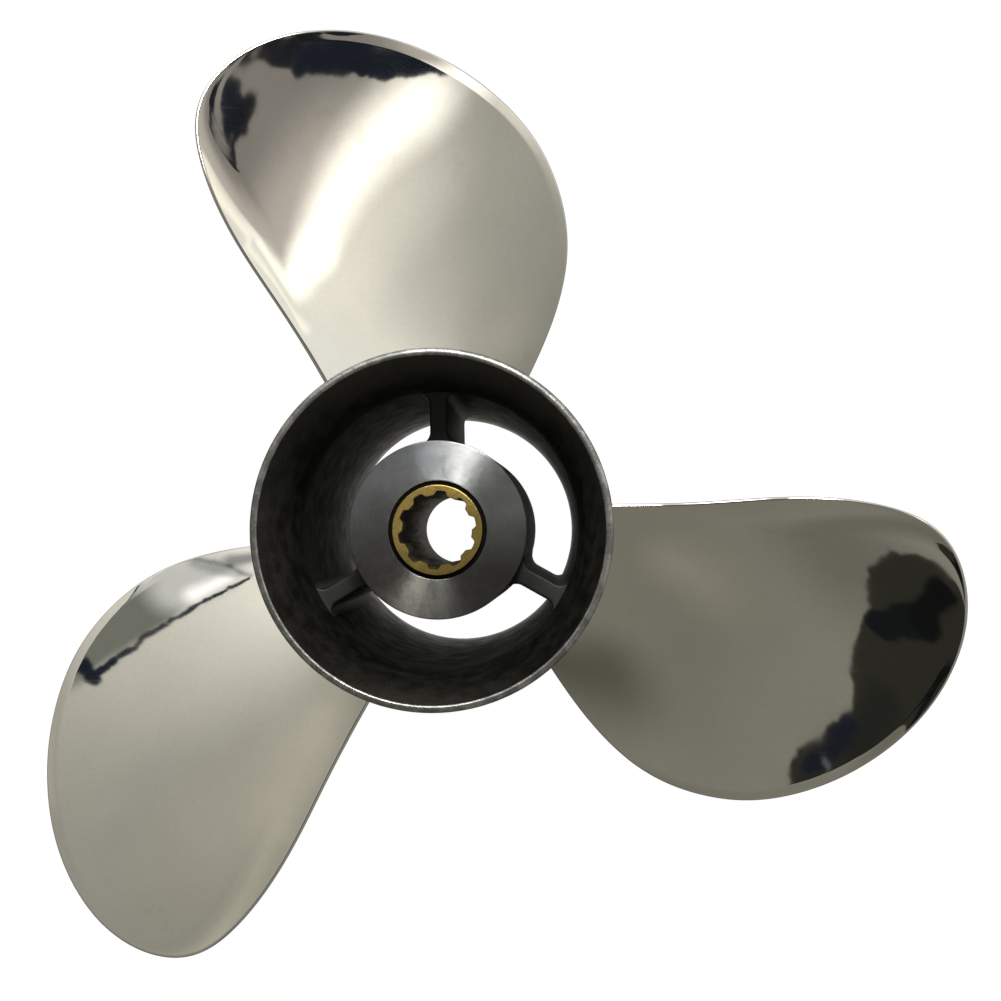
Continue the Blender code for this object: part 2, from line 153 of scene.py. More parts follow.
class Graph:
    """Node tree with one short call for each kind of node that is used here."""

    def __init__(self, tree):
        self.tree = tree
        self.tree.nodes.clear()

    def node(self, kind, values=(), **settings):
        made = self.tree.nodes.new("ShaderNode" + kind)
        for name, value in settings.items():
            setattr(made, name, value)
        for socket, value in dict(values).items():
            self.plug(made.inputs[socket], value)
        return made

    def plug(self, socket, value):
        if isinstance(value, bpy.types.NodeSocket):
            self.tree.links.new(value, socket)
        else:
            socket.default_value = value

    def math(self, operation, *values, clamp=False):
        made = self.node("Math", operation=operation, use_clamp=clamp)
        for socket, value in zip(made.inputs, values):
            self.plug(socket, value)
        return made.outputs[0]

    def vector(self, operation, *values, scale=None):
        made = self.node("VectorMath", operation=operation)
        for socket, value in zip(made.inputs, values):
            self.plug(socket, value)
        if scale is not None:
            self.plug(made.inputs["Scale"], scale)
        return made.outputs["Value" if operation in ("DOT_PRODUCT", "LENGTH") else "Vector"]

    def spread(self, value, low, high, to_low=0.0, to_high=1.0, smooth=True):
        made = self.node("MapRange", interpolation_type="SMOOTHSTEP" if smooth else "LINEAR")
        for socket, number in zip(made.inputs, (value, low, high, to_low, to_high)):
            self.plug(socket, number)
        return made.outputs[0]

    def noise(self, vector, scale, detail=3.0, roughness=0.5):
        return self.node("TexNoise", {"Vector": vector, "Scale": scale, "Detail": detail,
                                      "Roughness": roughness}).outputs["Fac"]

    def mix(self, share, first, second):
        made = self.node("Mix", data_type="RGBA")
        for socket, value in zip((0, 6, 7), (share, first, second)):
            if not isinstance(value, bpy.types.NodeSocket) and socket:
                value = (*value, 1.0)
            self.plug(made.inputs[socket], value)
        return made.outputs[2]

    def stretched(self, vector, factors):
        return self.vector("MULTIPLY", vector, factors)

    def bump(self, height, strength, distance):
        return self.node("Bump", {"Height": height, "Strength": strength,
                                  "Distance": distance}).outputs["Normal"]

    def from_axis(self, place):
        """Distance of a place from the shaft's axis."""
        return self.vector("LENGTH", self.stretched(place, (1.0, 1.0, 0.0)))

    def surface(self, shader, output="OutputMaterial"):
        """Connect a shader to the tree's output."""
        self.tree.links.new(shader, self.node(output).inputs["Surface"])

    def either(self, share, first, second):
        """The first shader at share 0, the second at share 1."""
        made = self.node("MixShader", {"Fac": share})
        self.tree.links.new(first, made.inputs[1])
        self.tree.links.new(second, made.inputs[2])
        return made.outputs[0]


def new_material(name):
    material = bpy.data.materials.new(name)
    material.use_nodes = True
    graph = Graph(material.node_tree)
    place = graph.node("TexCoord").outputs["Object"]
    return material, graph, place


def finish_material(material, graph, **values):
    """Close a material with a Principled shader; keys are its sockets, _ for a space."""
    shader = graph.node("BsdfPrincipled",
                        {key.replace("_", " "): value for key, value in values.items()})
    graph.surface(shader.outputs[0])
    return material


def polished_steel():
    """Mirror polish with faint clouds, hairlines and a few stains."""
    material, graph, place = new_material("polished_stainless")
    clouds = graph.noise(place, 28.0, 4.0, 0.55)
    color = graph.mix(graph.spread(clouds, 0.35, 0.70), (0.79, 0.765, 0.68), (0.735, 0.715, 0.635))
    stain = graph.spread(graph.noise(place, 17.0, 5.0, 0.7), 0.66, 0.76, 0.0, 0.4)
    color = graph.mix(stain, color, (0.50, 0.46, 0.36))
    grain = graph.noise(place, 1100.0, 2.0)
    color = graph.mix(graph.spread(grain, 0.35, 0.75, 0.0, 0.16), color, (0.60, 0.58, 0.51))
    hairs = graph.noise(graph.stretched(place, (90.0, 900.0, 260.0)), 1.0, 3.0, 0.6)
    marks = graph.spread(hairs, 0.60, 0.74)
    haze = graph.spread(graph.noise(place, 60.0, 3.0, 0.6), 0.3, 0.75, 0.025, 0.05)
    roughness = graph.math("ADD", haze, graph.math("MULTIPLY", marks, 0.02))
    return finish_material(material, graph, Base_Color=color, Metallic=1.0, Roughness=roughness)


def cast_steel():
    """Dark satin skin inside the barrel, finely grained; its colour has painted light at the front
    edge and painted shade deep inside and towards -Y.
    """
    material, graph, place = new_material("cast_stainless")
    patches = graph.noise(place, 45.0, 4.0, 0.6)
    color = graph.mix(graph.spread(patches, 0.3, 0.7), (0.070, 0.070, 0.064), (0.10, 0.097, 0.084))
    parts = graph.node("SeparateXYZ", {"Vector": place}).outputs
    # painted light and painted shade: the colour is brightened at the front edge and darkened deep
    # inside and towards -Y
    painted_light_at_front_edge = graph.spread(parts[2], 3 * MM, 13 * MM, 2.2, 1.0)
    painted_shade_deep_inside = graph.spread(parts[2], 45 * MM, 85 * MM, 0.55, 1.15)
    painted_shade_towards_minus_y = graph.spread(parts[1], -22 * MM, 6 * MM, 0.55, 1.0)
    for share in (painted_light_at_front_edge, painted_shade_deep_inside, painted_shade_towards_minus_y):
        color = graph.vector("SCALE", color, scale=share)
    # painted shade on the reflection: the specular tint dims the grazing reflection deep inside
    sheen = graph.spread(parts[2], 8 * MM, 34 * MM, 1.0, 0.55)
    grain = graph.noise(place, 1400.0, 4.0, 0.65)
    roughness = graph.spread(graph.noise(place, 240.0, 3.0), 0.3, 0.7, 0.42, 0.56)
    return finish_material(material, graph, Base_Color=color, Metallic=1.0, Roughness=roughness,
                           Specular_Tint=sheen, Normal=graph.bump(grain, 0.07, 0.00006))


def rib_steel():
    """Skin of the ribs: rougher than the walls, with the same cast steel's colour made darker as
    painted shade.
    """
    material, graph, place = new_material("cast_ribs")
    patches = graph.noise(place, 60.0, 4.0, 0.6)
    # painted shade: a darker copy of the walls' cast steel colour
    color = graph.mix(graph.spread(patches, 0.3, 0.7), (0.055, 0.055, 0.052), (0.08, 0.078, 0.07))
    return finish_material(material, graph, Base_Color=color, Metallic=1.0, Roughness=0.62,
                           Normal=graph.bump(graph.noise(place, 900.0, 4.0, 0.6), 0.3, 0.00006))


def machined_steel():
    """Turned face: fine rings about the axis and a few scratches; its colour runs from painted
    shade towards -Y to painted light towards +Y.
    """
    material, graph, place = new_material("machined_stainless")
    parts = graph.node("SeparateXYZ", {"Vector": place}).outputs
    turn = graph.math("ARCTAN2", parts[1], parts[0])
    around = graph.node("CombineXYZ", {"X": graph.math("MULTIPLY", graph.from_axis(place), 9000.0),
                                       "Y": graph.math("MULTIPLY", turn, 5.0)}).outputs[0]
    rings = graph.noise(around, 1.0, 3.0, 0.6)
    scuffs = graph.noise(graph.stretched(place, (900.0, 620.0, 200.0)), 1.0, 4.0, 0.65)
    patches = graph.noise(place, 90.0, 3.0, 0.6)
    uneven = graph.spread(patches, 0.3, 0.7)
    # lit and shaded tones of one steel: painted light towards +Y and painted shade towards -Y
    bright = graph.mix(uneven, (0.70, 0.72, 0.74), (0.50, 0.51, 0.51))
    dark = graph.mix(uneven, (0.17, 0.165, 0.148), (0.13, 0.125, 0.11))
    color = graph.mix(graph.spread(parts[1], -12 * MM, 16 * MM), dark, bright)
    color = graph.mix(graph.spread(rings, 0.45, 0.75, 0.0, 0.35), color, (0.10, 0.10, 0.09))
    roughness = graph.spread(scuffs, 0.3, 0.75, 0.30, 0.42)
    height = graph.math("ADD", graph.math("MULTIPLY", rings, 0.6),
                        graph.math("MULTIPLY", scuffs, 0.6))
    tangent = graph.node("Tangent", direction_type="RADIAL", axis="Z").outputs[0]
    return finish_material(material, graph, Base_Color=color, Metallic=1.0, Roughness=roughness,
                           Anisotropic=0.93, Anisotropic_Rotation=0.25, Tangent=tangent,
                           Normal=graph.bump(height, 0.7, 0.00004))


def worn_rim():
    """The ring's aft rim: brushed and nicked."""
    material, graph, place = new_material("worn_rim")
    nicks = graph.noise(place, 260.0, 5.0, 0.7)
    color = graph.mix(graph.spread(nicks, 0.42, 0.62), (0.22, 0.22, 0.21), (0.46, 0.45, 0.42))
    roughness = graph.spread(nicks, 0.3, 0.7, 0.44, 0.34)
    return finish_material(material, graph, Base_Color=color, Metallic=1.0, Roughness=roughness,
                           Normal=graph.bump(nicks, 0.6, 0.0002))


def black_rubber():
    material, graph, place = new_material("black_rubber")
    grain = graph.noise(place, 900.0, 3.0, 0.6)
    roughness = graph.spread(grain, 0.3, 0.7, 0.62, 0.78)
    return finish_material(material, graph, Base_Color=(0.004, 0.004, 0.004, 1.0),
                           Roughness=roughness, Specular_IOR_Level=0.06,
                           Normal=graph.bump(grain, 0.3, 0.00008))


def filed_brass():
    """Brass end face with slanting file marks and random tarnish; its colour is darker towards +X
    and -Y as painted shade.
    """
    material, graph, place = new_material("filed_brass")
    slant = graph.node("VectorRotate", {"Vector": place, "Angle": math.radians(-38.0)},
                       rotation_type="Z_AXIS").outputs[0]
    marks = graph.noise(graph.stretched(slant, (500.0, 4200.0, 500.0)), 1.0, 4.0, 0.7)
    # painted shade: the colour darkens towards +X and -Y, added to the random tarnish
    painted_shade_side = graph.vector("DOT_PRODUCT", place, (20.0, -18.0, 0.0))
    tarnish_and_painted_shade = graph.math("ADD", graph.noise(place, 160.0, 3.0, 0.6), painted_shade_side)
    bright = graph.mix(graph.spread(marks, 0.35, 0.65), (0.90, 0.68, 0.22), (0.50, 0.34, 0.08))
    color = graph.mix(graph.spread(tarnish_and_painted_shade, 0.40, 0.70, 0.0, 0.6), bright, (0.30, 0.22, 0.06))
    roughness = graph.spread(marks, 0.3, 0.7, 0.26, 0.42)
    return finish_material(material, graph, Base_Color=color, Metallic=1.0, Roughness=roughness,
                           Normal=graph.bump(marks, 0.6, 0.00012))


def bore_brass():
    """Splined bore, a dull greyish brown with streaks along it."""
    material, graph, place = new_material("bore_brass")
    streaks = graph.noise(graph.stretched(place, (900.0, 900.0, 60.0)), 1.0, 3.0, 0.6)
    color = graph.mix(graph.spread(streaks, 0.3, 0.7), (0.15, 0.137, 0.11), (0.26, 0.233, 0.19))
    return finish_material(material, graph, Base_Color=color, Metallic=1.0, Roughness=0.5,
                           Normal=graph.bump(streaks, 0.3, 0.00008))


POLISHED, CAST, RIBS = (make() for make in (polished_steel, cast_steel, rib_steel))
MACHINED, RIM = (make() for make in (machined_steel, worn_rim))
RUBBER, BRASS, BORE = (make() for make in (black_rubber, filed_brass, bore_brass))


def add_piece(name, points, faces, materials, replaces, face_materials=None):
    mesh = bpy.data.meshes.new(name)
    mesh.from_pydata([tuple(point) for point in points], [], faces)
    for material in materials:
        mesh.materials.append(material)
    if face_materials is not None:
        mesh.polygons.foreach_set("material_index", face_materials)
    shape = bmesh.new()
    shape.from_mesh(mesh)
    bmesh.ops.recalc_face_normals(shape, faces=shape.faces)
    shape.to_mesh(mesh)
    shape.free()
    mesh.shade_smooth()
    mesh.set_sharp_from_angle(angle=SHARP_ANGLE)
    piece = bpy.data.objects.new(name, mesh)
    bpy.context.scene.collection.objects.link(piece)
    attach(piece, "root")
    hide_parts(*replaces)


def band_faces(count, pairs):
    """Four-sided faces between the pairs of rings, each ring of count points."""
    faces = []
    for low, high in pairs:
        for k in range(count):
            nxt = (k + 1) % count
            faces.append((low * count + k, low * count + nxt, high * count + nxt,
                          high * count + k))
    return faces


def rounded(corners):
    """Closed profile of (radius, z, rounding, material) corners with the corners rounded."""
    points, materials = [], []
    for i, (radius, z, rounding, material) in enumerate(corners):
        here = Vector((radius, z))
        if not rounding:
            points.append(here)
            materials.append(material)
            continue
        before = (Vector(corners[i - 1][:2]) - here).normalized()
        after = (Vector(corners[(i + 1) % len(corners)][:2]) - here).normalized()
        half = before.angle(after) / 2
        centre = here + (before + after).normalized() * (rounding / math.sin(half))
        start = here + before * (rounding / math.tan(half)) - centre
        end = here + after * (rounding / math.tan(half)) - centre
        for step in range(ARC_STEPS + 1):
            spoke = start.lerp(end, step / ARC_STEPS)
            points.append(centre + spoke.normalized() * rounding)
            materials.append(material)
    return points, materials


def turned(name, rings, ring_materials, steps, materials, replaces):
    """Turn closed rings of (radius or radii round the axis, z) into a solid."""
    angles = np.arange(steps) * 2 * math.pi / steps
    points = [np.stack([radius * np.cos(angles), radius * np.sin(angles),
                        np.full(steps, z)], axis=1) for radius, z in rings]
    faces = band_faces(steps, [(i, (i + 1) % len(rings)) for i in range(len(rings))])
    face_materials = [material for material in ring_materials for _ in range(steps)]
    add_piece(name, np.concatenate(points), faces, materials, replaces, face_materials)


def flare(z, start_r, end_r):
    share = np.clip((z - RING_FRONT_Z) / (BARREL_LENGTH - RING_FRONT_Z), 0.0, 1.0)
    return start_r + (end_r - start_r) * (FLARE_SLOPE * share + (1 - FLARE_SLOPE) * share * share)


def barrel_outer_r(z):
    grown = (BARREL_AFT_R - BARREL_FRONT_R) * np.clip(z, 0, None) / RING_FRONT_Z
    return np.where(z > RING_FRONT_Z, flare(z, BARREL_AFT_R, RING_R), BARREL_FRONT_R + grown)


def barrel_inner_r(z):
    grown = (BARREL_AFT_BORE_R - BARREL_FRONT_BORE_R) * np.clip(z, 0, None) / RING_FRONT_Z
    return np.where(z > RING_FRONT_Z, flare(z, BARREL_AFT_BORE_R, RING_BORE_R),
                    BARREL_FRONT_BORE_R + grown)


def build_barrel():
    """Barrel and flared ring, one casting: polished outside, satin inside, worn rim."""
    outside, inside, rim = 0, 1, 2
    stations = [*BARREL_STATIONS, *FLARE_STATIONS]
    corners = [(float(barrel_outer_r(z)), z, 0, outside) for z in reversed(stations)]
    corners += [
        (BARREL_FRONT_R, 0.0, FRONT_ROUND, rim),
        (BARREL_FRONT_BORE_R + FRONT_CHAMFER, 0.0, 0, inside),
        (BARREL_FRONT_BORE_R, FRONT_CHAMFER, 0, inside),
    ]
    corners += [(float(barrel_inner_r(z)), z, 0, inside) for z in stations[1:]]
    corners += [(RING_BORE_R, BARREL_LENGTH, RIM_INNER_ROUND, rim),
                (RING_R - RIM_INSET, BARREL_LENGTH, RIM_OUTER_ROUND, rim)]
    points, materials = rounded(corners)
    turned("barrel_shell", points, materials, TURN_STEPS, (POLISHED, CAST, RIM),
           ("barrel", "flared_ring"))


def build_inner_hub():
    skin, face = 0, 1
    wall_z = INNER_HUB_AFT_Z - AFT_WALL
    points, materials = rounded([
        (AFT_WALL_HOLE_R, INNER_HUB_AFT_Z, 0.25 * MM, face),
        (INNER_HUB_R, INNER_HUB_AFT_Z, 0.35 * MM, face),
        (INNER_HUB_R, INNER_HUB_AFT_Z - MACHINED_BAND, 0, skin),
        (INNER_HUB_R, INNER_HUB_FRONT_Z, 1.0 * MM, skin),
        (INNER_HUB_BORE_R, INNER_HUB_FRONT_Z, 0.5 * MM, face),
        (INNER_HUB_BORE_R, wall_z, 0.4 * MM, face),
        (AFT_WALL_HOLE_R, wall_z, 0.3 * MM, face),
    ])
    turned("inner_hub_casting", points, materials, TURN_STEPS, (CAST, MACHINED),
           ("inner_hub",))


def build_bush():
    shoulder_z = INNER_HUB_AFT_Z - AFT_WALL
    points, materials = rounded([
        (SKIRT_R, SKIRT_AFT_Z, 0.2 * MM, 0),
        (SKIRT_R, shoulder_z, 0, 0),
        (INNER_HUB_BORE_R, shoulder_z, 0.3 * MM, 0),
        (INNER_HUB_BORE_R, BUSH_FRONT_Z, 1.5 * MM, 0),
        (SLEEVE_R + BUSH_GAP, BUSH_FRONT_Z, 0.4 * MM, 0),
        (SLEEVE_R + BUSH_GAP, SKIRT_AFT_Z, 0.15 * MM, 0),
    ])
    turned("rubber_bush_moulding", points, materials, TURN_STEPS, (RUBBER,),
           ("rubber_bush",))


def spline_radius(steps):
    """Radius of the splined bore round the axis, with softened tooth corners."""
    pitch = 360.0 / SPLINE_TEETH
    angles = np.arange(steps) * 360.0 / steps
    from_tooth = np.abs((angles - SPLINE_TOOTH_ANGLE + pitch / 2) % pitch - pitch / 2)
    share = np.clip((from_tooth - SPLINE_TIP_HALF_ANGLE)
                    / (SPLINE_BASE_HALF_ANGLE - SPLINE_TIP_HALF_ANGLE), 0, 1)
    return SPLINE_TIP_R + (SPLINE_ROOT_R - SPLINE_TIP_R) * share * share * (3 - 2 * share)


def build_sleeve():
    steps = SPLINE_TEETH * TOOTH_STEPS
    spline = spline_radius(steps)
    body, bore = 0, 1
    outside, materials = rounded([
        (SPLINE_TIP_R, SLEEVE_AFT_Z, 0, body),
        (SLEEVE_R, SLEEVE_AFT_Z, 0.2 * MM, body),
        (SLEEVE_R, SLEEVE_FRONT_Z, 0.4 * MM, body),
        (SLEEVE_BORE_R, SLEEVE_FRONT_Z, 0.4 * MM, bore),
        (SLEEVE_BORE_R, SPLINE_FRONT_Z - SPLINE_RUN_OUT, 0, bore),
    ])
    rings = [tuple(point) for point in outside[1:]]
    rings += [(spline, SPLINE_FRONT_Z), (spline, SLEEVE_AFT_Z - TOOTH_CHAMFER_DEPTH),
              (spline + TOOTH_CHAMFER_WIDTH, SLEEVE_AFT_Z)]
    materials = materials[1:] + [bore, body, body]
    turned("splined_brass_sleeve", rings, materials, steps, (BRASS, BORE),
           ("splined_sleeve",))


def rib_ring(z, inset):
    """Plan of a rib along +X, with its fillets lying on the hub and on the barrel."""
    wide = RIB_THICKNESS / 2 + RIB_FILLET_R - inset
    barrel_r = float(barrel_inner_r(z))
    half = []
    for step in range(ARC_STEPS * 2 + 1):
        angle = math.pi / 2 * step / (ARC_STEPS * 2)
        rise = RIB_FILLET_R * (1 - math.cos(angle))
        half.append((rise, wide - RIB_FILLET_R * math.sin(angle)))
    side = [(math.sqrt(INNER_HUB_R ** 2 - wide ** 2) - RIB_RUN_ON, wide)]
    side += [(math.sqrt(INNER_HUB_R ** 2 - y * y) + rise, y) for rise, y in half]
    side += [(math.sqrt(barrel_r ** 2 - y * y) - rise, y) for rise, y in reversed(half)]
    side.append((math.sqrt(barrel_r ** 2 - wide ** 2) + RIB_RUN_ON, wide))
    return [(x, y, z) for x, y in side] + [(x, -y, z) for x, y in reversed(side)]


def build_rib(name, angle):
    nose = [math.pi / 2 * step / (ARC_STEPS + 2) for step in range(ARC_STEPS + 3)]
    nose = [(RIB_NOSE * (1 - math.cos(turn)), RIB_NOSE * (1 - math.sin(turn))) for turn in nose]
    levels = [(RIB_FRONT_Z + along, inset) for along, inset in nose]
    levels += [(RIB_AFT_Z - along, inset) for along, inset in reversed(nose)]
    rings = [rib_ring(z, inset) for z, inset in levels]
    count = len(rings[0])
    faces = band_faces(count, [(low, low + 1) for low in range(len(rings) - 1)])
    for cap in (0, (len(rings) - 1) * count):
        for k in range(count // 2 - 1):
            faces.append((cap + k, cap + k + 1, cap + count - 2 - k, cap + count - 1 - k))
    spin = Matrix.Rotation(math.radians(angle), 3, "Z")
    points = [spin @ Vector(point) for ring in rings for point in ring]
    add_piece(name + "_web", points, faces, (RIBS,), (name,))


def natural_spline(knots, values):
    """Smooth curve through the points: a function of arrays of the knots' variable."""
    knots, values = np.array(knots), np.array(values)
    count = len(knots)
    steps = np.diff(knots)
    slopes = np.diff(values) / steps
    system = np.eye(count)
    bends = np.zeros(count)
    for i in range(1, count - 1):
        system[i, i - 1:i + 2] = [steps[i - 1], 2 * (steps[i - 1] + steps[i]), steps[i]]
        bends[i] = 6 * (slopes[i] - slopes[i - 1])
    bends = np.linalg.solve(system, bends)

    def curve(at):
        i = np.clip(np.searchsorted(knots, at) - 1, 0, count - 2)
        ahead, behind, step = knots[i + 1] - at, at - knots[i], steps[i]
        return ((bends[i] * ahead ** 3 + bends[i + 1] * behind ** 3) / (6 * step)
                + (values[i] / step - bends[i] * step / 6) * ahead
                + (values[i + 1] / step - bends[i + 1] * step / 6) * behind)

    return curve


def span_share(radius):
    return np.arcsin(np.clip((radius - ROOT_R) / (TIP_R - ROOT_R), -1, 1)) * 2 / math.pi


def edge_curve(points):
    radii, degrees = np.array(points).T
    return natural_spline(span_share(radii * MM), degrees)


TRAILING, LEADING = edge_curve(TRAILING_EDGE), edge_curve(LEADING_EDGE)


def plain_face_z(radius, degrees):
    """Height of the pressure face without its lip: a raked helix."""
    return BLADE_Z + PITCH * degrees / 360 + RAKE * (radius - ROOT_R)


def face_z(radius, degrees):
    """Height of the pressure face, the lip along the trailing edge included."""
    span = np.clip(span_share(radius), 0, 1)
    to_edge = radius * np.radians(TRAILING(span) - degrees)
    grown = np.clip((radius - CUP_START_R) / (CUP_FULL_R - CUP_START_R), 0.001, 1)
    narrowed = np.clip((radius - CUP_FULL_R) / (TIP_R - CUP_FULL_R), 0, 1) ** 2
    width = CUP_WIDTH * grown * (1 - (1 - CUP_TIP_SHARE) * narrowed)
    into = np.clip(1 - to_edge / width, 0, None)
    lip = CUP_SLOPE * width * (into ** 3 - into ** 4 / 2) * (1 - narrowed ** 1.5)
    groove = (GROOVE_DEPTH * grown * (1 - narrowed ** 4)
              * np.exp(-((to_edge - width) / GROOVE_WIDTH) ** 2))
    return plain_face_z(radius, degrees) + lip - groove


def face_point(radius, degrees):
    angle = np.radians(degrees)
    return np.stack([radius * np.cos(angle), radius * np.sin(angle), face_z(radius, degrees)],
                    axis=-1)


def face_normal(radius, degrees):
    """Unit normal of the face without its lip, on the side that looks aft."""
    climb = PITCH / (2 * math.pi * radius)
    angle = np.radians(degrees)
    normal = np.stack([-RAKE * np.cos(angle) + climb * np.sin(angle),
                       -RAKE * np.sin(angle) - climb * np.cos(angle),
                       np.ones_like(angle)], axis=-1)
    return normal / np.linalg.norm(normal, axis=-1, keepdims=True)


def blade_outline():
    """The blade's edge in space, from the trailing root round the tip to the leading root."""
    spans = np.linspace(-0.03, 1.0, OUTLINE_STEPS)
    radii = ROOT_R + (TIP_R - ROOT_R) * np.sin(spans * math.pi / 2)
    trailing = face_point(radii, TRAILING(spans))
    leading = face_point(radii, LEADING(spans))
    return np.concatenate([trailing, leading[-2::-1]])


def distance_to(outline, points):
    start, along = outline[:-1], np.diff(outline, axis=0)
    reach = points[:, None, :] - start
    share = (reach * along).sum(-1) / (along * along).sum(-1)
    gap = reach - np.clip(share, 0, 1)[..., None] * along
    return np.sqrt((gap * gap).sum(-1).min(-1))


def polished_away(from_edge, from_leading, radius, shares):
    """How deep the rounded edge and the bevel along the leading edge cut into the face."""
    into = 1 - np.clip(from_edge / EDGE_ROUND, 0, 1)
    rounding = EDGE_THICKNESS / 2 * (1 - np.sqrt(1 - into * into))
    begun = np.clip((TIP_R - radius) / BEVEL_START, 0, 1) * np.clip(2 - 4 * shares, 0, 1)
    begun = begun * np.clip((radius - BEVEL_END_R) / (BEVEL_FULL_R - BEVEL_END_R), 0, 1)
    bevel = BEVEL_DEPTH * begun * np.clip(1 - from_leading / BEVEL_WIDTH, 0, 1) ** 1.3
    return rounding, bevel


def blade_section(row_r, follow, shares, outline):
    """Pressure and suction sides of the blade at one row, leading edge first."""
    radius = np.full_like(shares, row_r)
    for _ in range(3):
        span = span_share(radius)
        degrees = LEADING(span) + (TRAILING(span) - LEADING(span)) * shares
        radius = row_r + (barrel_outer_r(face_z(radius, degrees)) - ROOT_R) * follow
    span = np.clip(span_share(radius), 0, 1)
    face = face_point(radius, degrees)
    forward = -face_normal(radius, degrees)
    from_edge = distance_to(outline, face)
    from_edge[0] = from_edge[-1] = 0.0
    from_leading = distance_to(outline[len(outline) // 2:], face)
    middle = ROOT_THICKNESS + (TIP_THICKNESS - ROOT_THICKNESS) * span ** 0.8
    swell = np.sin(math.pi * shares) * (1 - np.exp(-from_edge / EDGE_SWELL))
    thick = EDGE_THICKNESS + (middle - EDGE_THICKNESS) * swell
    rounding, bevel = polished_away(from_edge, from_leading, radius, shares)
    pressure = face + forward * (rounding + bevel)[:, None]
    suction = face + forward * (thick + bevel - rounding)[:, None]
    return pressure, suction


def loop_of(pressure, suction):
    return np.concatenate([pressure, suction[-2:0:-1]])


def spread_on_barrel(loop, outward, height):
    """Move a section's loop outward along the barrel, for one row of the root fillet."""
    flat = np.stack([np.arctan2(loop[:, 1], loop[:, 0]) * ROOT_R, loop[:, 2]], axis=1)
    along = np.roll(flat, -1, axis=0) - np.roll(flat, 1, axis=0)
    normal = np.stack([along[:, 1], -along[:, 0]], axis=1)
    normal /= np.linalg.norm(normal, axis=1, keepdims=True)
    around = (flat[:, 0] * np.roll(flat[:, 1], -1) - np.roll(flat[:, 0], -1) * flat[:, 1]).sum()
    flat = flat + normal * outward * (1 if around > 0 else -1)
    radius = barrel_outer_r(flat[:, 1]) + height
    angle = flat[:, 0] / ROOT_R
    return np.stack([radius * np.cos(angle), radius * np.sin(angle), flat[:, 1]], axis=1)


def blade_rows():
    shares = (1 - np.cos(np.linspace(0, math.pi, CHORD_STEPS + 1))) / 2
    outline = blade_outline()
    rows = []
    for step in range(FILLET_STEPS + 1):
        turn = math.pi / 2 * (1 - step / FILLET_STEPS)
        height = ROOT_FILLET_R * (1 - math.sin(turn))
        outward = ROOT_FILLET_R * (1 - math.cos(turn))
        loop = loop_of(*blade_section(ROOT_R + height, 1.0, shares, outline))
        if step == 0:
            rows.append(spread_on_barrel(loop, outward + ROOT_SKIRT, -ROOT_SINK))
        rows.append(spread_on_barrel(loop, outward, height))
    first = float(span_share(ROOT_R + ROOT_FILLET_R))
    for step in range(1, SPAN_STEPS + 1):
        span = first + (1.0 - TIP_TRIM - first) * step / SPAN_STEPS
        row_r = ROOT_R + (TIP_R - ROOT_R) * math.sin(span * math.pi / 2)
        height = min(max((row_r - ROOT_R - ROOT_FILLET_R) / ROOT_BLEND, 0.0), 1.0)
        follow = 1 - height * height * (3 - 2 * height)
        rows.append(loop_of(*blade_section(row_r, follow, shares, outline)))
    return rows


def polish_wave(point):
    coarse = noise.noise(point / POLISH_WAVE_SIZE)
    return coarse + 0.5 * noise.noise(point * 2.3 / POLISH_WAVE_SIZE)


def build_blade(name, angle, rows):
    count = len(rows[0])
    points = np.concatenate(rows)
    turn = math.radians(angle)
    spin = np.array([[math.cos(turn), -math.sin(turn), 0], [math.sin(turn), math.cos(turn), 0],
                     [0, 0, 1]])
    points = points @ spin.T
    faces = band_faces(count, [(low, low + 1) for low in range(len(rows) - 1)])
    for cap in (0, (len(rows) - 1) * count):
        for k in range(CHORD_STEPS):
            low, high = cap + (count - k) % count, cap + (count - k - 1) % count
            if high == cap + k + 1:
                faces.append((cap + k, cap + k + 1, low))
            elif low == cap + k:
                faces.append((cap + k, cap + k + 1, high))
            else:
                faces.append((cap + k, cap + k + 1, high, low))
    heights = np.array([polish_wave(Vector(point)) for point in points]) * POLISH_WAVE
    points[:, 2] += heights
    add_piece(name + "_polished", points, faces, (POLISHED,), (name,))


build_barrel()
build_inner_hub()
build_bush()
build_sleeve()
for rib, rib_angle in RIB_ANGLES.items():
    build_rib(rib, rib_angle)
BLADE_ROWS = blade_rows()
for blade, blade_angle in BLADE_ANGLES.items():
    build_blade(blade, blade_angle, BLADE_ROWS)

